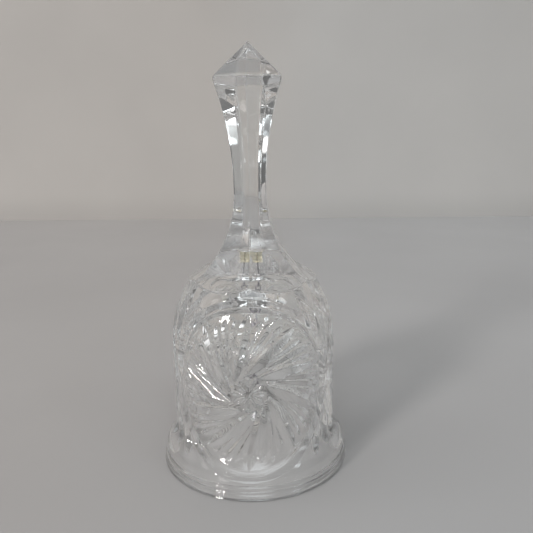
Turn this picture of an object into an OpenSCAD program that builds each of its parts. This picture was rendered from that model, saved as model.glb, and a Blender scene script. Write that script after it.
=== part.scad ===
// Table bell in clear cut crystal: a hollow bell, a solid six-sided handle,
// and a glass drop clapper on a wire chain from an eye cemented in the crown.
// Millimetres, +Z up. The origin is the centre of the rim, on the table.

/* [Bell] */
// Radius of the rim
rim_r = 38; // [36:0.5:39]
// Radius of the near-cylindrical side of the bell
body_r = 32.2; // [31.5:0.1:33]
// Thickness of the side wall
wall = 4.4; // [4:0.1:4.8]
// Height of the straight lip above the table
lip_h = 7; // [6.5:0.1:7.5]
// Height at which the lip has curved in to the side
flare_h = 16; // [15:0.5:17]
// Height at which the shoulder starts to round over
shoulder_z = 48; // [47:0.5:49]
// Height of the hollow, from the table to the crown
hollow_h = 72.5; // [72.2:0.1:73]

/* [Handle] */
// Whole height of the bell, from the table to the tip of the handle
total_h = 162; // [160:0.5:166]
// Height at which the handle is joined to the bell
joint_z = 87; // [86.5:0.1:87.5]
// Height of the narrowest part of the handle
waist_z = 110; // [109:0.5:111]
// Corner radius of the handle at its narrowest
waist_r = 7.1; // [6.9:0.1:7.5]
// Corner radius of the handle's knob
knob_r = 14.2; // [13.6:0.1:14.6]
// Height of the knob's widest band
knob_z = 149; // [148:0.5:150]

/* [Clapper] */
// Number of links in the chain (one node and one joint each)
link_count = 9; // [9]
// Wire diameter of the chain
chain_wire = 0.7; // [0.6:0.05:0.75]
// Length of one link over its ends
link_len = 5.5; // [5.4:0.05:5.6]
// Width of one link over its sides
link_w = 3.4; // [3.3:0.05:3.6]
// Diameter of the glass drop
bead_d = 8; // [7.5:0.1:8.2]
// Length of the glass drop
bead_len = 12.5; // [12:0.1:12.8]

/* [Hidden] */
$fn = 96;

// Bell: the lip tapers to lip_top_r and curves in to the side. The side closes as part of an ellipse
// outside and as a slightly pointed dome inside.
lip_top_r = rim_r - 1.6;
rim_round = 0.8;
shoulder_r = body_r + 0.2;
shoulder_rise = 41;
neck_z = 81;
neck_r = shoulder_r * sqrt(1 - pow((neck_z - shoulder_z) / shoulder_rise, 2));
hollow_r = body_r - wall;
mouth_r = rim_r - 4;
mouth_blend_z = 20;
hollow_rise = hollow_h - shoulder_z;
crown_power = 0.7;

// Handle: corner radius grows as the square of the height above the waist, and faster below it.
knob_swell = (knob_r - waist_r) / pow(knob_z - waist_z, 2);
girdle_h = 2;
tip_flat = 0.25;
foot_scale = 0.0032;
foot_power = 2.41;
petal_start = 31;
petal_scale = 0.28;
petal_floor_z = 72;

// Eye with a long shank, cemented in the top of a bore up through the crown, which bulges below the cement
bore_r = 3.3;
bore_bulge = 0.8;
bore_top_z = 84;
cement_z = 79.2;
seat_gap = 0.02;
anchor_wire = 0.9;
anchor_ring_r = 1.6;
anchor_ring_z = 66.9;
anchor_top_z = 83.4;

// Chain
link_gap = 0.05;
wire_r = chain_wire / 2;
bend_r = link_w / 2 - wire_r;
link_straight = link_len - link_w;
link_inner = link_len - 2 * chain_wire;
pitch = link_inner - link_gap;
anchor_seat_z = anchor_ring_z - anchor_ring_r + anchor_wire / 2;
first_link_z = anchor_seat_z + link_gap - link_inner / 2;

// Drop and its pin
pin_wire = 0.8;
pin_ring_r = 1.2;
last_seat_z = first_link_z - (link_count - 1) * pitch - link_inner / 2;
pin_ring_z = last_seat_z + link_gap - pin_ring_r + pin_wire / 2;
drop_top_z = pin_ring_z - pin_ring_r - pin_wire / 2 - 0.3;
drop_end_z = drop_top_z - bead_len;
pin_head_r = 0.95;
pin_head_h = 0.4;

function blend(t) = (1 - cos(180 * min(max(t, 0), 1))) / 2;

function lip_r(z) = rim_r - (rim_r - lip_top_r) * z / lip_h;

function side_r(z) = body_r + 0.2 * (z - flare_h) / (shoulder_z - flare_h);

function outer_r(z) =
    z < lip_h ? lip_r(z)
    : z < flare_h ? lip_top_r + (body_r - lip_top_r) * blend((z - lip_h) / (flare_h - lip_h))
    : z < shoulder_z ? side_r(z)
    : z < neck_z ? shoulder_r * sqrt(1 - pow((z - shoulder_z) / shoulder_rise, 2))
    : neck_r;

function inner_r(z) = mouth_r + (hollow_r - mouth_r) * blend(z / mouth_blend_z);

// Height of the hollow's crown at a distance r from the axis
function crown_z(r) = shoulder_z + hollow_rise * sqrt(1 - pow(r / hollow_r, 1 / crown_power));

function stem_r(z) =
    z > waist_z ? waist_r + knob_swell * pow(z - waist_z, 2) : foot_r(waist_z - z);

function foot_r(drop) =
    waist_r + foot_scale * pow(drop, foot_power) + petal_scale * pow(max(0, drop - petal_start), 2);

module bell_blank() {
    rotate_extrude()
        polygon(concat(
            [[0, 0], [rim_r - rim_round, 0], [lip_r(rim_round), rim_round]],
            [for (z = [3.5, lip_h]) [outer_r(z), z]],
            [for (i = [1:6]) let (z = lip_h + (flare_h - lip_h) * i / 6) [outer_r(z), z]],
            [[outer_r(shoulder_z), shoulder_z]],
            [for (i = [1:12]) let (z = shoulder_z + (neck_z - shoulder_z) * i / 12) [outer_r(z - 0.001), z]],
            [[neck_r, joint_z], [0, joint_z]]
        ));
}

module bell_hollow() {
    rotate_extrude()
        polygon(concat(
            [[0, -1], [mouth_r, -1]],
            [for (i = [0:6]) let (z = mouth_blend_z * i / 6) [inner_r(z), z]],
            [for (a = [0:7.5:82.5]) [hollow_r * cos(a), crown_z(hollow_r * cos(a))]],
            [[0, hollow_h]]
        ));
}

// The bore up through the crown: straight round the cement, bulged between there and the hollow.
module crown_bore() {
    low = hollow_h - 0.8;
    rotate_extrude()
        polygon(concat(
            [[0, low], [bore_r, low]],
            [for (i = [1:7]) [bore_r + bore_bulge * sin(180 * i / 8), low + (cement_z - low) * i / 8]],
            [[bore_r, cement_z], [bore_r, bore_top_z], [0, bore_top_z]]
        ));
}

// A six-sided solid with a corner at the front: three equal slabs, each a profile run straight.
module six_sided(profile) {
    outline = concat(
        [for (p = profile) [p[0] * cos(30), p[1]]],
        [for (i = [len(profile) - 1:-1:0]) [-profile[i][0] * cos(30), profile[i][1]]]
    );
    intersection_for (turn = [0, 60, 120])
        rotate([90, 0, turn])
            linear_extrude(height = 120, center = true)
                polygon(outline);
}

module bell_body() {
    color([0.86, 0.9, 0.89, 0.5])
        difference() {
            intersection() {
                bell_blank();
                six_sided(concat(
                    [[60, -1], [60, petal_floor_z]],
                    [for (z = [73:1:80]) [stem_r(z), z]],
                    [for (z = [82:2:84]) [stem_r(z), z]],
                    [[stem_r(joint_z), joint_z]]
                ));
            }
            bell_hollow();
            crown_bore();
        }
}

module handle() {
    color([0.86, 0.9, 0.89, 0.5])
        six_sided(concat(
            [for (i = [0:8]) let (z = joint_z + (waist_z - joint_z) * i / 8) [stem_r(z), z]],
            [for (i = [1:9]) let (z = waist_z + (knob_z - girdle_h - waist_z) * i / 9) [stem_r(z), z]],
            [[knob_r, knob_z - girdle_h / 2], [knob_r - 0.2, knob_z + girdle_h / 2]],
            [[tip_flat, total_h]]
        ));
}

module crown_cement() {
    color([0.88, 0.84, 0.66])
        difference() {
            translate([0, 0, cement_z])
                cylinder(r = bore_r - seat_gap, h = bore_top_z - seat_gap - cement_z);
            translate([0, 0, cement_z - 1])
                cylinder(r = anchor_wire / 2 + seat_gap, h = anchor_top_z + seat_gap - cement_z + 1);
        }
}

// A ring of round wire standing on edge, across the Y axis.
module wire_ring(ring_r, wire_d, z) {
    translate([0, 0, z])
        rotate([0, 90, 0])
            rotate_extrude()
                translate([ring_r, 0])
                    circle(d = wire_d, $fn = 32);
}

module anchor_eye() {
    color("slategray")
        union() {
            wire_ring(anchor_ring_r, anchor_wire, anchor_ring_z);
            translate([0, 0, anchor_ring_z + anchor_ring_r])
                cylinder(d = anchor_wire, h = anchor_top_z - anchor_ring_z - anchor_ring_r, $fn = 32);
        }
}

// Half a turn of link wire, opening downwards, in the XZ plane.
module link_bend() {
    rotate([90, 0, 0])
        rotate_extrude(angle = 180)
            translate([bend_r, 0])
                circle(r = wire_r, $fn = 24);
}

module chain_link(n) {
    color("slategray")
        translate([0, 0, first_link_z - (n - 1) * pitch])
            rotate([0, 0, n % 2 == 1 ? 0 : 90])
                union() {
                    translate([0, 0, link_straight / 2])
                        link_bend();
                    translate([0, 0, -link_straight / 2])
                        rotate([180, 0, 0])
                            link_bend();
                    for (side = [-1, 1])
                        translate([side * bend_r, 0, -link_straight / 2])
                            cylinder(r = wire_r, h = link_straight, $fn = 24);
                }
}

module clapper_pin() {
    color("slategray")
        union() {
            wire_ring(pin_ring_r, pin_wire, pin_ring_z);
            translate([0, 0, drop_end_z - pin_head_h / 2])
                cylinder(d = pin_wire, h = pin_ring_z - pin_ring_r - drop_end_z + pin_head_h / 2, $fn = 32);
            translate([0, 0, drop_end_z - pin_head_h - seat_gap])
                cylinder(r = pin_head_r, h = pin_head_h, $fn = 32);
        }
}

// Half-width of the drop at a share s of its length, from its foot (0) to its neck (1).
function drop_r(s) =
    bead_d / 2 * (s < 0.38 ? sqrt(1 - pow((0.38 - s) / 0.42, 2)) : 1 - 0.72 * pow((s - 0.38) / 0.62, 2));

module clapper_drop() {
    color([0.85, 0.9, 0.9, 0.6])
        difference() {
            rotate_extrude()
                polygon(concat(
                    [[0, drop_end_z]],
                    [for (i = [0:16]) [drop_r(i / 16), drop_end_z + bead_len * i / 16]],
                    [[0, drop_top_z]]
                ));
            translate([0, 0, drop_end_z - 1])
                cylinder(r = pin_wire / 2 + seat_gap, h = bead_len + 2, $fn = 32);
        }
}

bell_body();
handle();
crown_cement();
anchor_eye();
chain_link(1);  // chain_link_01
chain_link(2);  // chain_link_02
chain_link(3);  // chain_link_03
chain_link(4);  // chain_link_04
chain_link(5);  // chain_link_05
chain_link(6);  // chain_link_06
chain_link(7);  // chain_link_07
chain_link(8);  // chain_link_08
chain_link(9);  // chain_link_09
clapper_pin();
clapper_drop();
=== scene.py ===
"""Looks for a cut crystal hand bell: one closed body of glass with its cut pattern, a glass drop, and the
finishes of the wire chain, on a plain pale table. Millimetres in the sums, metres in Blender, +Z up."""
import math

import bpy
import numpy as np
from mathutils import Matrix, Vector


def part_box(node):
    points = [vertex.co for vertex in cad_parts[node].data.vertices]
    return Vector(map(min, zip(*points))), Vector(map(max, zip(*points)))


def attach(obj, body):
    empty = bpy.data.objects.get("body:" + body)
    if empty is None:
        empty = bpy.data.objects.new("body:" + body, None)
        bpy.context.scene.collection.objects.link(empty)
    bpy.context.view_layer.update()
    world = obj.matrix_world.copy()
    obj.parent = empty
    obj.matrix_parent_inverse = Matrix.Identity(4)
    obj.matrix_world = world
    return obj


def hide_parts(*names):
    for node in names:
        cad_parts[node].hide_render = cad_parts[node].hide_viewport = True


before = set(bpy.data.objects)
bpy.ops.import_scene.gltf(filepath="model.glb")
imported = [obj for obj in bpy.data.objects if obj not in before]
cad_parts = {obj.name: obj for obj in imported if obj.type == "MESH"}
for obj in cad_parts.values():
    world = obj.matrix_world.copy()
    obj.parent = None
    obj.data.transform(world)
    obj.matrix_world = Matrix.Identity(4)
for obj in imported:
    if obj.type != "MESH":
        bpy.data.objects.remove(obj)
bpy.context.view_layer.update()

MM = 0.001


# ---------------------------------------------------------------- sizes, in mm
def node_box(name):
    """Lowest and highest corner of a CAD node, in mm."""
    low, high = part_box(name)
    return np.array(low) / MM, np.array(high) / MM


drop_low, drop_high = node_box("clapper_drop")

TOTAL_H = node_box("handle")[1][2]
RIM_R = node_box("bell_body")[1][0]
CEMENT_Z = node_box("crown_cement")[0][2]
RIM_ROUND = 0.8
RIM_FLAT_R = RIM_R - 0.6
LIP_H = 7.0
LIP_TOP_R = RIM_R - 1.42
FLARE_H = 16.0
BODY_R = 32.2
SHOULDER_Z = 48.0
SHOULDER_R = BODY_R + 0.2
SHOULDER_RISE = 41.0
HOLLOW_R = BODY_R - 4.4
HOLLOW_H = 72.5
CROWN_POWER = 0.7
MOUTH_R = 34.0
MOUTH_BLEND_Z = 20.0
BORE_R, BORE_BULGE = 3.3, 0.8
BORE_TOP_Z = 84.0

WAIST_Z = 110.0
WAIST_R = 7.1
KNOB_R = 14.6
KNOB_Z = 149.3
GIRDLE_ROUND = 0.9
FOOT_SCALE, FOOT_POWER = 0.0032, 2.41
PETAL_START, PETAL_SCALE = 31.0, 0.28
PETAL_STEP = 0.8
STEM_START_Z = 84.0

COLUMNS = 744
ROW_PITCH = 0.28
FRONT = -math.pi / 2

# Cut pattern. Distances are on the glass, from the middle of a medallion.
MEDALLIONS = 3
MEDALLION_Z = 39.8
RING_R, RING_HALF, RING_SLOPE = 31.8, 2.2, 0.75
BLADES = 10
BLADE_PHASE = 89
BLADE_LEAD = 46
BLADE_ROOT, BLADE_TIP = 7.0, 29.2
BLADE_HALF, BLADE_BEND = 3.0, 0.03
NEEDLES = 3
NEEDLE_HALF = 1.6
CUT_SLOPE = 0.75
VALLEY_ROUND = 0.12
EDGE_ROUND = 0.04

# Share of the drop's length, from its foot, at which it is widest
DROP_WIDEST_AT = 0.38

# The room. Each patch: azimuth, elevation, inner and outer angle, colour, radiance.
ROOM_LOW, ROOM_HIGH = 0.14, 0.18
ROOM_PATCHES = ((3, 47, 6, 23, (0.9, 0.97, 1), 4), (8, 19, 4, 16, (1, 0.98, 0.96), 1),
                (-90, 44, 6, 20, (0.97, 0.99, 1), 1.4), (-90, 18, 4, 14, (1, 1, 1), 0.8),
                (54, 45, 5, 17, (0.93, 1, 1.02), 1.1), (57, 34, 2, 7, (0.88, 0.96, 1), 6),
                (-38, 20, 1, 9, (1, 0.98, 0.96), 2.4), (-62, 27, 2, 9, (1, 0.99, 0.98), 2))


# ---------------------------------------------------------------- outlines
def ease(t):
    return (1 - np.cos(np.pi * np.clip(t, 0, 1))) / 2


def outer_r(z):
    """Radius of the smooth outside of the bell at height z."""
    z = np.asarray(z, float)
    lip = RIM_R - (RIM_R - LIP_TOP_R) * z / LIP_H
    flare = LIP_TOP_R + (BODY_R - LIP_TOP_R) * ease((z - LIP_H) / (FLARE_H - LIP_H))
    side = BODY_R + (SHOULDER_R - BODY_R) * (z - FLARE_H) / (SHOULDER_Z - FLARE_H)
    rise = np.clip((z - SHOULDER_Z) / SHOULDER_RISE, 0, 0.97)
    dome = SHOULDER_R * np.sqrt(1 - rise**2)
    return np.select([z < LIP_H, z < FLARE_H, z < SHOULDER_Z], [lip, flare, side], dome)


def inner_r(z):
    """Radius of the hollow at height z."""
    z = np.asarray(z, float)
    mouth = MOUTH_R + (HOLLOW_R - MOUTH_R) * ease(z / MOUTH_BLEND_Z)
    rise = np.clip((z - SHOULDER_Z) / (HOLLOW_H - SHOULDER_Z), 0, 1)
    return np.where(z < SHOULDER_Z, mouth, HOLLOW_R * (1 - rise**2) ** CROWN_POWER)


def crown_height(radius):
    """Height of the hollow's crown at a distance from the axis."""
    return SHOULDER_Z + (HOLLOW_H - SHOULDER_Z) * math.sqrt(1 - (radius / HOLLOW_R) ** (1 / CROWN_POWER))


def stem_r(z):
    """Corner radius of the six-sided handle and its foot at height z."""
    z = np.asarray(z, float)
    up = np.clip(z - WAIST_Z, 0, None)
    down = np.clip(WAIST_Z - z, 0, None)
    knob = (KNOB_R - WAIST_R) / (KNOB_Z - WAIST_Z) ** 2 * up**2
    foot = FOOT_SCALE * down**FOOT_POWER + PETAL_SCALE * np.clip(down - PETAL_START, 0, None) ** 2
    return WAIST_R + knob + foot


def six_sided(angle, corner_r, rounding=0.12):
    """Distance from the axis to a hexagon with a corner at the front, its corners slightly rounded."""
    apothem = corner_r * math.cos(math.pi / 6)
    turn = np.mod(angle - FRONT, math.pi / 3) - math.pi / 6
    near = apothem / np.cos(turn)
    beside = apothem / np.maximum(np.cos(math.pi / 3 - np.abs(turn)), 0.2)
    soft = rounding / math.log(2)
    return near - soft * np.log1p(np.exp(-(beside - near) / soft))


# ---------------------------------------------------------------- cut pattern
def polar(radius, degrees):
    return radius * math.cos(math.radians(degrees)), radius * math.sin(math.radians(degrees))


def mitre(x, y, start, end, half_w, slope=CUT_SLOPE, bend=0.0, fullest=0.55):
    """Depth of a leaf-shaped V cut of constant angle. bend bows it to the left of its direction."""
    length = math.dist(start, end)
    along_x, along_y = (end[0] - start[0]) / length, (end[1] - start[1]) / length
    u = np.clip(((x - start[0]) * along_x + (y - start[1]) * along_y) / length, 0, 1)
    v = (y - start[1]) * along_x - (x - start[0]) * along_y
    off = v - bend * length * 4 * u * (1 - u)
    width = half_w * np.sin(np.pi * u ** (math.log(0.5) / math.log(fullest))) ** 0.8
    beyond = ((x - start[0]) * along_x + (y - start[1]) * along_y) / length - u
    return slope * (width - np.sqrt(off**2 + VALLEY_ROUND**2) + VALLEY_ROUND - np.abs(beyond) * length)


def pinwheel(x, y):
    """The deepest of the blades and their fans of needle cuts, turning clockwise seen from outside."""
    depth = np.full(x.shape, -9.0)
    for k in range(BLADES):
        tip_angle = BLADE_PHASE - 360 / BLADES * k
        root = polar(BLADE_ROOT, tip_angle + BLADE_LEAD)
        tip = polar(BLADE_TIP, tip_angle)
        depth = np.maximum(depth, mitre(x, y, root, tip, BLADE_HALF, bend=BLADE_BEND, fullest=0.5))
        for j in range(NEEDLES):
            end = polar(BLADE_TIP - 1.2 - 0.8 * abs(j - 1), tip_angle - 10 - 8 * j)
            start = (root[0] + 0.2 * (end[0] - root[0]), root[1] + 0.2 * (end[1] - root[1]))
            depth = np.maximum(depth, mitre(x, y, start, end, NEEDLE_HALF, bend=0.02, fullest=0.72))
    return depth


def hub_star(x, y):
    """Short cuts that make a ten-pointed star in the hub, round a small flat button."""
    depth = np.full(x.shape, -9.0)
    for k in range(BLADES):
        angle = BLADE_PHASE + 18 - 360 / BLADES * k
        depth = np.maximum(depth, mitre(x, y, polar(1.2, angle), polar(6.6, angle), 0.9, fullest=0.6))
    return depth


def spandrel(side, y):
    """Leaf cuts in the corner panels above and below where two rings touch. side is the distance from the
    panel's middle line."""
    depth = np.full(side.shape, -9.0)
    for up in (1, -1):
        top = 33.0 if up > 0 else 28.5
        middle = mitre(side, y, (0, up * 13), (0, up * top), 2.5, fullest=0.6)
        beside = mitre(side, y, (4.5, up * 18), (9.3, up * (top + 0.5)), 2.2, bend=up * 0.05)
        depth = np.max([depth, middle, beside], axis=0)
    return depth


def cut_depth(angle, t, radius):
    """Depth of the cut pattern, at an angle round the bell and a distance t up the glass."""
    period = 2 * math.pi / MEDALLIONS
    turn = np.mod(angle - FRONT + period / 2, period) - period / 2
    x = turn * radius
    ring = RING_SLOPE * (RING_HALF - np.sqrt((np.hypot(x, t) - RING_R) ** 2 + VALLEY_ROUND**2) + VALLEY_ROUND)
    side = (period / 2 - np.abs(turn)) * radius
    depth = np.max([ring, pinwheel(x, t), hub_star(x, t), spandrel(side, t)], axis=0)
    return (depth + np.sqrt(depth**2 + EDGE_ROUND**2)) / 2 - EDGE_ROUND / 2 * (depth < -1)


# ---------------------------------------------------------------- mesh helpers
def ring_points(angle, radius, z):
    radius, z = np.broadcast_to(radius, angle.shape), np.broadcast_to(z, angle.shape)
    return np.stack([radius * np.cos(angle), radius * np.sin(angle), z], 1)


def strip(first, second, n):
    """Quads between two rings of n points that start at vertices first and second."""
    i = np.arange(n)
    j = (i + 1) % n
    return np.stack([first + i, first + j, second + j, second + i], 1).tolist()


def stitch(first, first_angles, second, second_angles):
    """Triangles between two rings with different angles, both counted from the same direction."""
    n, m = len(first_angles), len(second_angles)
    a = np.append(first_angles, first_angles[0] + 2 * math.pi)
    b = np.append(second_angles, second_angles[0] + 2 * math.pi)
    faces, i, j = [], 0, 0
    while i < n or j < m:
        if j == m or (i < n and a[i + 1] <= b[j + 1]):
            faces.append([first + i, first + (i + 1) % n, second + j % m])
            i += 1
        else:
            faces.append([first + i % n, second + (j + 1) % m, second + j])
            j += 1
    return faces


class Skin:
    """A surface of rings, from one closed end to the other."""

    def __init__(self):
        self.points, self.faces, self.last, self.count = [], [], None, 0

    def ring(self, angles, radius, z):
        """Adds a ring and joins it to the one before."""
        first = self.count
        self.points.append(ring_points(angles, radius, z))
        self.count += len(angles)
        if self.last is not None:
            before, before_angles = self.last
            if len(before_angles) == len(angles):
                self.faces += strip(before, first, len(angles))
            else:
                self.faces += stitch(before, before_angles, first, angles)
        self.last = (first, angles)

    def cap(self, z, start):
        """Closes the ring last added with a point on the axis. start is true for the first ring of the skin,
        whose faces turn the other way."""
        first, angles = self.last
        n, tip = len(angles), self.count
        self.points.append(np.array([[0.0, 0.0, z]]))
        self.count += 1
        i = np.arange(n)
        j = (i + 1) % n
        fan = [i + first, j + first, np.full(n, tip)]
        self.faces += np.stack(fan[::-1] if start else fan, 1).tolist()

    def build(self, name):
        mesh = bpy.data.meshes.new(name)
        mesh.from_pydata((np.concatenate(self.points) * MM).tolist(), [], self.faces)
        mesh.validate()
        mesh.update()
        mesh.polygons.foreach_set("use_smooth", [True] * len(mesh.polygons))
        piece = bpy.data.objects.new(name, mesh)
        bpy.context.scene.collection.objects.link(piece)
        return piece


# ---------------------------------------------------------------- the glass
def even_angles(n):
    return FRONT + 2 * math.pi * np.arange(n) / n


def stem_angles():
    """Angles for the handle, closer together towards its six corners."""
    half = np.array([0, 8, 15, 20.5, 24, 26, 27.3, 28.2, 28.9, 29.5])
    face = np.concatenate([-half[:0:-1], half])
    corner = 60 * np.arange(6)[:, None]
    turns = np.concatenate([corner, corner + 30 + face[None, :]], 1).ravel()
    return FRONT + np.radians(turns)


def add_hollow(skin):
    """The inside of the bell, from the bore in the crown down to the mouth."""
    few, many = even_angles(48), even_angles(186)
    crown_z = crown_height(BORE_R + 0.3)
    skin.ring(few, BORE_R - 0.2, BORE_TOP_Z)
    skin.cap(BORE_TOP_Z, start=True)
    for z in (BORE_TOP_Z - 0.2, CEMENT_Z + 0.4):
        skin.ring(few, BORE_R, z)
    for share in np.linspace(0, 1, 30):
        z = CEMENT_Z * (1 - share) + (crown_z + 0.5) * share
        ripple = 0.1 * math.sin(6 * math.pi * share) * np.sin(math.pi * share)
        skin.ring(few, BORE_R + BORE_BULGE * math.sin(math.pi * share) + ripple, z)
    skin.ring(few, BORE_R + 0.15, crown_z + 0.15)
    skin.ring(few, BORE_R + 0.5, crown_z - 0.05)
    for radius in HOLLOW_R * np.sin(np.radians(np.linspace(10, 90, 36))):
        skin.ring(many, radius, crown_height(radius))
    for z in np.linspace(SHOULDER_Z, MOUTH_BLEND_Z, 12)[1:]:
        skin.ring(many, inner_r(z), z)
    for z in np.linspace(MOUTH_BLEND_Z, 0.6, 24)[1:]:
        skin.ring(many, inner_r(z), z)
    skin.ring(many, MOUTH_R + 0.05, 0.25)
    skin.ring(many, MOUTH_R + 0.3, 0)


def lip_line(z):
    """Depth of the fine lines turned round the lip."""
    depth = np.zeros_like(z)
    for centre, half in ((1.1, 0.45), (2.7, 0.4), (3.9, 0.4), (5.5, 0.5)):
        depth = np.maximum(depth, 0.9 * (half - np.abs(z - centre)))
    return depth


def add_outside(skin):
    """The rim, the lip, the cut side and the shoulder, up to the petals of the handle's foot."""
    angles = even_angles(COLUMNS)
    skin.ring(angles, RIM_FLAT_R - 0.25, 0)
    skin.ring(angles, RIM_FLAT_R, 0.08)
    skin.ring(angles, RIM_FLAT_R + 0.45, 0.4)
    for z in np.arange(0.7, 6.2, 0.13):
        skin.ring(angles, outer_r(max(z, RIM_ROUND)) - lip_line(np.float64(z)), z)
    z_fine = np.linspace(0, 82, 4000)
    r_fine = outer_r(z_fine)
    run = np.concatenate([[0], np.cumsum(np.hypot(np.diff(z_fine), np.diff(r_fine)))])
    t_fine = run - np.interp(MEDALLION_Z, z_fine, run)
    top_z = 72.4
    t_rows = np.arange(np.interp(6.3, z_fine, t_fine), np.interp(top_z, z_fine, t_fine), ROW_PITCH)
    for t in t_rows:
        z = np.interp(t, t_fine, z_fine)
        add_cut_row(skin, angles, z, t)
    edge_z = petal_edge(angles)
    for share in np.linspace(0, 1, 14)[1:]:
        z = np.interp(t_rows[-1], t_fine, z_fine) * (1 - share) + (edge_z - PETAL_STEP) * share
        t = np.interp(z, z_fine, t_fine)
        add_cut_row(skin, angles, z, t)
    edge_r = outer_r(edge_z)
    skin.ring(angles, edge_r + 0.05, edge_z - 0.25)
    skin.ring(angles, edge_r + PETAL_STEP - 0.12, edge_z - 0.1)
    skin.ring(angles, six_sided(angles, stem_r(edge_z + 0.08)), edge_z + 0.08)
    for share in np.linspace(0, 1, 26)[1:] ** 1.2:
        z = (edge_z + 0.08) * (1 - share) + STEM_START_Z * share
        skin.ring(angles, six_sided(angles, stem_r(z)), z)


def add_cut_row(skin, angles, z, t):
    """One ring of the outside, sunk along the surface's normal by the depth of the cuts."""
    z = np.broadcast_to(z, angles.shape).astype(float)
    radius = outer_r(z)
    slope = (outer_r(z + 0.05) - outer_r(z - 0.05)) / 0.1
    normal_r = 1 / np.sqrt(1 + slope**2)
    normal_z = -slope * normal_r
    depth = cut_depth(angles, np.broadcast_to(t, angles.shape), radius)
    skin.ring(angles, radius - depth * normal_r, z - depth * normal_z)


def petal_edge(angles):
    """Height at which each petal of the foot comes out of the shoulder."""
    z = np.linspace(70, 82, 1200)
    gap = six_sided(angles[None, :], stem_r(z)[:, None]) - outer_r(z)[:, None] - PETAL_STEP
    first_inside = np.argmax(gap < 0, axis=0)
    return z[first_inside]


def knob_r(z):
    """Corner radius near the girdle, where the swelling stem and the point meet in a small rounding."""
    below = stem_r(z)
    above = KNOB_R * (TOTAL_H + 0.15 - z) / (TOTAL_H + 0.15 - KNOB_Z)
    return (below + above) / 2 - np.sqrt((below - above) ** 2 + GIRDLE_ROUND**2) / 2


def add_handle(skin):
    """The six-sided stem, its knob and the point."""
    angles = stem_angles()
    stem = np.linspace(STEM_START_Z, KNOB_Z - 2.4, 45)[1:]
    girdle = KNOB_Z + np.arange(-2.1, 3, 0.3)
    point = np.linspace(KNOB_Z + 3.3, TOTAL_H - 0.9, 9)
    for z in np.concatenate([stem, girdle, point]):
        radius = knob_r(z) if z > WAIST_Z else stem_r(z)
        skin.ring(angles, six_sided(angles, radius, min(0.16, float(radius) / 8)), z)
    slope = KNOB_R / (TOTAL_H + 0.15 - KNOB_Z)
    skin.ring(angles, slope * 0.5, TOTAL_H - 0.35)
    skin.ring(angles, slope * 0.25, TOTAL_H - 0.1)
    skin.cap(TOTAL_H - 0.02, start=False)


def make_glass():
    skin = Skin()
    add_hollow(skin)
    add_outside(skin)
    add_handle(skin)
    return skin.build("crystal_bell")


def make_drop():
    """The glass drop, cut with long facets, with a hole down its middle for the pin."""
    skin = Skin()
    facets, hole_r = 10, 0.42
    angles = even_angles(facets * 6)
    low, high = drop_low[2], drop_high[2]
    widest = (drop_high[0] - drop_low[0]) / 2
    turn = np.mod(angles - FRONT, 2 * math.pi / facets) - math.pi / facets
    flat = np.cos(math.pi / facets) / np.cos(turn)
    skin.ring(angles, hole_r, low)
    for share in np.linspace(0.02, 0.98, 30):
        if share < DROP_WIDEST_AT:
            swell = math.sqrt(1 - ((DROP_WIDEST_AT - share) / 0.42) ** 2)
        else:
            swell = 1 - 0.72 * ((share - DROP_WIDEST_AT) / (1 - DROP_WIDEST_AT)) ** 2
        skin.ring(angles, widest * swell * flat, low + (high - low) * share)
    skin.ring(angles, hole_r, high)
    skin.faces += strip(skin.last[0], 0, len(angles))
    return skin.build("crystal_drop")


# ---------------------------------------------------------------- materials
def new_material(name):
    material = bpy.data.materials.new(name)
    material.use_nodes = True
    nodes, links = material.node_tree.nodes, material.node_tree.links
    nodes.clear()
    return material, nodes, links


def noise(nodes, links, scale, detail=3.0, roughness=0.5):
    where = nodes.new("ShaderNodeTexCoord")
    texture = nodes.new("ShaderNodeTexNoise")
    texture.inputs["Scale"].default_value = scale
    texture.inputs["Detail"].default_value = detail
    texture.inputs["Roughness"].default_value = roughness
    links.new(where.outputs["Object"], texture.inputs["Vector"])
    return texture


def ramp(nodes, links, source, low, high, at=(0.3, 0.7)):
    node = nodes.new("ShaderNodeValToRGB")
    node.color_ramp.elements[0].position, node.color_ramp.elements[1].position = at
    node.color_ramp.elements[0].color = (*low, 1)
    node.color_ramp.elements[1].color = (*high, 1)
    links.new(source, node.inputs["Fac"])
    return node


def bump(nodes, links, source, strength, distance):
    node = nodes.new("ShaderNodeBump")
    node.inputs["Strength"].default_value = strength
    node.inputs["Distance"].default_value = distance
    links.new(source, node.inputs["Height"])
    return node


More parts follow.
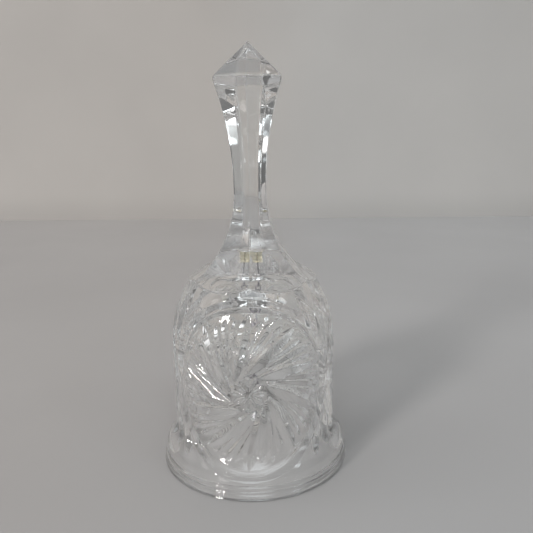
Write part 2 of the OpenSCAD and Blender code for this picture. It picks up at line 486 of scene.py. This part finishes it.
def glass_material(name, tint, passed, passed_later, solid_z=None):
    """Clear glass with a faint waviness. Lamps shine through it, dimmed by passed at each of the first two
    surfaces and by passed_later at the rest, and more where they meet it at a slant or above solid_z."""
    material, nodes, links = new_material(name)
    surface = nodes.new("ShaderNodeBsdfPrincipled")
    surface.inputs["Base Color"].default_value = (*tint, 1)
    surface.inputs["Transmission Weight"].default_value = 1
    surface.inputs["IOR"].default_value = 1.53
    waves = noise(nodes, links, 90, 2)
    smears = noise(nodes, links, 40, 4)
    haze = nodes.new("ShaderNodeMapRange")
    haze.inputs["From Min"].default_value = 0.45
    haze.inputs["From Max"].default_value = 0.8
    haze.inputs["To Min"].default_value = 0.0
    haze.inputs["To Max"].default_value = 0.06
    links.new(smears.outputs["Fac"], haze.inputs["Value"])
    links.new(haze.outputs["Result"], surface.inputs["Roughness"])
    wavy = bump(nodes, links, waves.outputs["Fac"], 0.12, 0.0006)
    links.new(wavy.outputs["Normal"], surface.inputs["Normal"])
    path = nodes.new("ShaderNodeLightPath")
    through = nodes.new("ShaderNodeBsdfTransparent")
    later = nodes.new("ShaderNodeMapRange")
    later.inputs["From Min"].default_value = 1.4
    later.inputs["From Max"].default_value = 1.6
    later.inputs["To Min"].default_value = passed
    later.inputs["To Max"].default_value = passed_later
    links.new(path.outputs["Transparent Depth"], later.inputs["Value"])
    slant = nodes.new("ShaderNodeLayerWeight")
    slanted = nodes.new("ShaderNodeMapRange")
    slanted.inputs["To Min"].default_value = 1.0
    slanted.inputs["To Max"].default_value = 0.4
    links.new(slant.outputs["Facing"], slanted.inputs["Value"])
    dimmed = nodes.new("ShaderNodeMath")
    dimmed.operation = "MULTIPLY"
    links.new(later.outputs["Result"], dimmed.inputs[0])
    links.new(slanted.outputs["Result"], dimmed.inputs[1])
    if solid_z is not None:
        dimmed = dim_above(nodes, links, dimmed, solid_z)
    links.new(dimmed.outputs["Value"], through.inputs["Color"])
    mix = nodes.new("ShaderNodeMixShader")
    out = nodes.new("ShaderNodeOutputMaterial")
    lighting = nodes.new("ShaderNodeMath")
    lighting.operation = "MAXIMUM"
    links.new(path.outputs["Is Shadow Ray"], lighting.inputs[0])
    links.new(path.outputs["Is Diffuse Ray"], lighting.inputs[1])
    links.new(lighting.outputs["Value"], mix.inputs[0])
    links.new(surface.outputs["BSDF"], mix.inputs[1])
    links.new(through.outputs["BSDF"], mix.inputs[2])
    links.new(mix.outputs["Shader"], out.inputs["Surface"])
    return material


def dim_above(nodes, links, value, z):
    """Lowers a value to 0.6 of itself above a height in the piece, where the glass is solid."""
    where = nodes.new("ShaderNodeTexCoord")
    parts = nodes.new("ShaderNodeSeparateXYZ")
    links.new(where.outputs["Object"], parts.inputs[0])
    solid = nodes.new("ShaderNodeMapRange")
    solid.inputs["From Min"].default_value = z - 0.005
    solid.inputs["From Max"].default_value = z + 0.005
    solid.inputs["To Min"].default_value = 1.0
    solid.inputs["To Max"].default_value = 0.6
    links.new(parts.outputs["Z"], solid.inputs["Value"])
    product = nodes.new("ShaderNodeMath")
    product.operation = "MULTIPLY"
    links.new(value.outputs["Value"], product.inputs[0])
    links.new(solid.outputs["Result"], product.inputs[1])
    return product


def wire_material():
    """Drawn steel wire, tarnished in patches, with fine scratches along it."""
    material, nodes, links = new_material("tarnished_wire")
    surface = nodes.new("ShaderNodeBsdfPrincipled")
    surface.inputs["Metallic"].default_value = 1
    patches = noise(nodes, links, 900, 5, 0.6)
    colour = ramp(nodes, links, patches.outputs["Fac"], (0.12, 0.11, 0.12), (0.5, 0.49, 0.52))
    links.new(colour.outputs["Color"], surface.inputs["Base Color"])
    rough = nodes.new("ShaderNodeMapRange")
    rough.inputs["To Min"].default_value = 0.5
    rough.inputs["To Max"].default_value = 0.22
    links.new(patches.outputs["Fac"], rough.inputs["Value"])
    links.new(rough.outputs["Result"], surface.inputs["Roughness"])
    scratches = noise(nodes, links, 4000, 2)
    relief = bump(nodes, links, scratches.outputs["Fac"], 0.25, 0.00003)
    links.new(relief.outputs["Normal"], surface.inputs["Normal"])
    out = nodes.new("ShaderNodeOutputMaterial")
    links.new(surface.outputs["BSDF"], out.inputs["Surface"])
    return material


def cement_material():
    """Pale yellowish resin cement, slightly see-through and grainy."""
    material, nodes, links = new_material("resin_cement")
    surface = nodes.new("ShaderNodeBsdfPrincipled")
    grain = noise(nodes, links, 1500, 4)
    colour = ramp(nodes, links, grain.outputs["Fac"], (0.86, 0.8, 0.58), (0.95, 0.92, 0.78))
    links.new(colour.outputs["Color"], surface.inputs["Base Color"])
    surface.inputs["Roughness"].default_value = 0.2
    surface.inputs["Transmission Weight"].default_value = 0.92
    surface.inputs["IOR"].default_value = 1.5
    relief = bump(nodes, links, grain.outputs["Fac"], 0.3, 0.0001)
    links.new(relief.outputs["Normal"], surface.inputs["Normal"])
    out = nodes.new("ShaderNodeOutputMaterial")
    links.new(surface.outputs["BSDF"], out.inputs["Surface"])
    return material


def stage_material(name, low, high, painted_foot_shade):
    """Mottled, with painted light: a little darker and warmer on the left, and a wall darkened by painted
    shade at its foot, where it meets the table.
    """
    material, nodes, links = new_material(name)
    surface = nodes.new("ShaderNodeBsdfPrincipled")
    mottle = noise(nodes, links, 6, 3)
    colour = ramp(nodes, links, mottle.outputs["Fac"], low, high)
    place = nodes.new("ShaderNodeTexCoord")
    across = nodes.new("ShaderNodeSeparateXYZ")
    links.new(place.outputs["Object"], across.inputs[0])
    # painted light: the colour is made darker and warmer towards the left, as the light falls
    shift = nodes.new("ShaderNodeMapRange")
    shift.inputs["From Min"].default_value = -0.1
    shift.inputs["From Max"].default_value = 0.06
    links.new(across.outputs["X"], shift.inputs["Value"])
    painted_side_light = ramp(nodes, links, shift.outputs["Result"], (0.965, 0.935, 0.915), (0.985, 0.99, 0.995), (0, 1))
    tint = nodes.new("ShaderNodeVectorMath")
    tint.operation = "MULTIPLY"
    links.new(colour.outputs["Color"], tint.inputs[0])
    links.new(painted_side_light.outputs["Color"], tint.inputs[1])
    # painted shade: the colour is darker at the wall's foot, in the corner with the table
    dim = nodes.new("ShaderNodeMapRange")
    dim.interpolation_type = "SMOOTHSTEP"
    dim.inputs["From Max"].default_value = 0.045
    dim.inputs["To Min"].default_value = painted_foot_shade
    links.new(across.outputs["Z"], dim.inputs["Value"])
    dimmed = nodes.new("ShaderNodeVectorMath")
    dimmed.operation = "SCALE"
    links.new(tint.outputs["Vector"], dimmed.inputs[0])
    links.new(dim.outputs["Result"], dimmed.inputs["Scale"])
    links.new(dimmed.outputs["Vector"], surface.inputs["Base Color"])
    surface.inputs["Roughness"].default_value = 0.7
    surface.inputs["Specular IOR Level"].default_value = 0.25
    out = nodes.new("ShaderNodeOutputMaterial")
    links.new(surface.outputs["BSDF"], out.inputs["Surface"])
    return material


def coat(piece, material):
    piece.data.materials.clear()
    piece.data.materials.append(material)


# ---------------------------------------------------------------- camera, lights and stage
def add_camera():
    """A little right of the front, looking slightly down."""
    pitch, roll, turn = math.radians(13.31), math.radians(-0.83), math.radians(2.3)
    forward = Vector((0, math.cos(pitch), -math.sin(pitch)))
    level = Vector((1, 0, 0))
    upward = Vector((0, math.sin(pitch), math.cos(pitch)))
    right = math.cos(roll) * level + math.sin(roll) * upward
    top = math.cos(roll) * upward - math.sin(roll) * level
    pose = Matrix((right, top, -forward)).transposed().to_4x4()
    pose.translation = Vector((5.7, -220.5, 130.8)) * MM
    camera = bpy.data.objects.new("camera", bpy.data.cameras.new("camera"))
    camera.data.sensor_width = 36
    camera.data.lens = 38.97
    camera.data.clip_start = 0.01
    camera.matrix_world = Matrix.Rotation(turn, 4, "Z") @ pose
    bpy.context.scene.collection.objects.link(camera)
    bpy.context.scene.camera = camera


def add_stage():
    """A pale table and a wall behind it. The table's front edge runs at a slant."""
    half_w, front, slant, wall_y, wall_h = 3.0, -0.32, 0.3, 0.648, 1.3
    rows = ((front, slant, 0), (wall_y, 0, 0), (wall_y, 0, wall_h))
    points = [(x, y + slope * x, z) for y, slope, z in rows for x in (-half_w, half_w)]
    mesh = bpy.data.meshes.new("table_and_wall")
    mesh.from_pydata(points, [], [(0, 1, 3, 2), (2, 3, 5, 4)])
    table = bpy.data.objects.new("table_and_wall", mesh)
    bpy.context.scene.collection.objects.link(table)
    # the last number of each is its painted shade at the foot: none on the table, darker on the wall
    mesh.materials.append(stage_material("table", (0.413, 0.402, 0.4), (0.44, 0.43, 0.427), 1))
    mesh.materials.append(stage_material("wall", (0.404, 0.392, 0.379), (0.431, 0.418, 0.403), 0.89))
    mesh.polygons[1].material_index = 1


def add_light(name, place, size, power, colour, aim=(0, 0, 0.07)):
    light = bpy.data.lights.new(name, "AREA")
    light.shape = "RECTANGLE"
    light.size, light.size_y = size
    light.energy = power
    light.color = colour
    lamp = bpy.data.objects.new(name, light)
    lamp.location = place
    lamp.visible_transmission = False
    lamp.rotation_euler = (Vector(aim) - Vector(place)).to_track_quat("-Z", "Y").to_euler()
    bpy.context.scene.collection.objects.link(lamp)


def glow(nodes, links, facing, azimuth, elevation, inner, outer, colour, strength):
    """A round soft-edged bright patch of the room. Azimuth is from the front towards +X; all in degrees."""
    around, up = math.radians(azimuth), math.radians(elevation)
    dot = nodes.new("ShaderNodeVectorMath")
    dot.operation = "DOT_PRODUCT"
    level = math.cos(up)
    dot.inputs[1].default_value = (math.sin(around) * level, -math.cos(around) * level, math.sin(up))
    links.new(facing, dot.inputs[0])
    fade = nodes.new("ShaderNodeMapRange")
    fade.interpolation_type = "SMOOTHSTEP"
    fade.inputs["From Min"].default_value = math.cos(math.radians(outer))
    fade.inputs["From Max"].default_value = math.cos(math.radians(inner))
    fade.inputs["To Max"].default_value = strength
    links.new(dot.outputs["Value"], fade.inputs["Value"])
    tint = nodes.new("ShaderNodeVectorMath")
    tint.operation = "SCALE"
    tint.inputs[0].default_value = colour
    links.new(fade.outputs["Result"], tint.inputs["Scale"])
    return tint.outputs["Vector"]


def add_room():
    """A dim plain room with soft bright patches, which light the glass and aren't seen directly."""
    world = bpy.data.worlds.new("room")
    world.use_nodes = True
    nodes, links = world.node_tree.nodes, world.node_tree.links
    where = nodes.new("ShaderNodeTexCoord")
    total = nodes.new("ShaderNodeVectorMath")
    height = nodes.new("ShaderNodeSeparateXYZ")
    links.new(where.outputs["Generated"], height.inputs[0])
    dim = nodes.new("ShaderNodeMapRange")
    dim.interpolation_type = "SMOOTHSTEP"
    dim.inputs["From Min"].default_value = 0.0
    dim.inputs["From Max"].default_value = 0.5
    dim.inputs["To Min"].default_value = ROOM_LOW
    dim.inputs["To Max"].default_value = ROOM_HIGH
    links.new(height.outputs["Z"], dim.inputs["Value"])
    links.new(dim.outputs["Result"], total.inputs[0])
    patches = [glow(nodes, links, where.outputs["Generated"], *patch) for patch in ROOM_PATCHES]
    links.new(patches[0], total.inputs[1])
    for patch in patches[1:]:
        plus = nodes.new("ShaderNodeVectorMath")
        links.new(total.outputs["Vector"], plus.inputs[0])
        links.new(patch, plus.inputs[1])
        total = plus
    path = nodes.new("ShaderNodeLightPath")
    seen = nodes.new("ShaderNodeMix")
    seen.data_type = "VECTOR"
    links.new(path.outputs["Is Camera Ray"], seen.inputs["Factor"])
    links.new(total.outputs["Vector"], seen.inputs["A"])
    links.new(dim.outputs["Result"], seen.inputs["B"])
    links.new(seen.outputs["Result"], nodes["Background"].inputs["Color"])
    bpy.context.scene.world = world


def add_lights():
    add_light("key", (-2.56, -3.16, 1.7), (0.75, 0.75), 122, (1, 0.97, 0.95))
    add_room()


# ---------------------------------------------------------------- putting it together
add_camera()
add_stage()
add_lights()
bpy.context.scene.view_settings.view_transform = "Standard"
for kind in ("glossy_bounces", "transmission_bounces", "transparent_max_bounces", "max_bounces"):
    setattr(bpy.context.scene.cycles, kind, 40)

glass = make_glass()
coat(glass, glass_material("crystal", (0.988, 0.992, 0.99), 1.13, 0.59, 0.085))
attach(glass, "bell")
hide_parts("bell_body", "handle")

drop = make_drop()
coat(drop, glass_material("drop_crystal", (0.96, 0.98, 0.97), 0.85, 0.85))
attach(drop, "clapper")
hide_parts("clapper_drop")

wire = wire_material()
for name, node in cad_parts.items():
    if name.startswith("chain_link") or name in ("anchor_eye", "clapper_pin"):
        coat(node, wire)
coat(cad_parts["crown_cement"], cement_material())
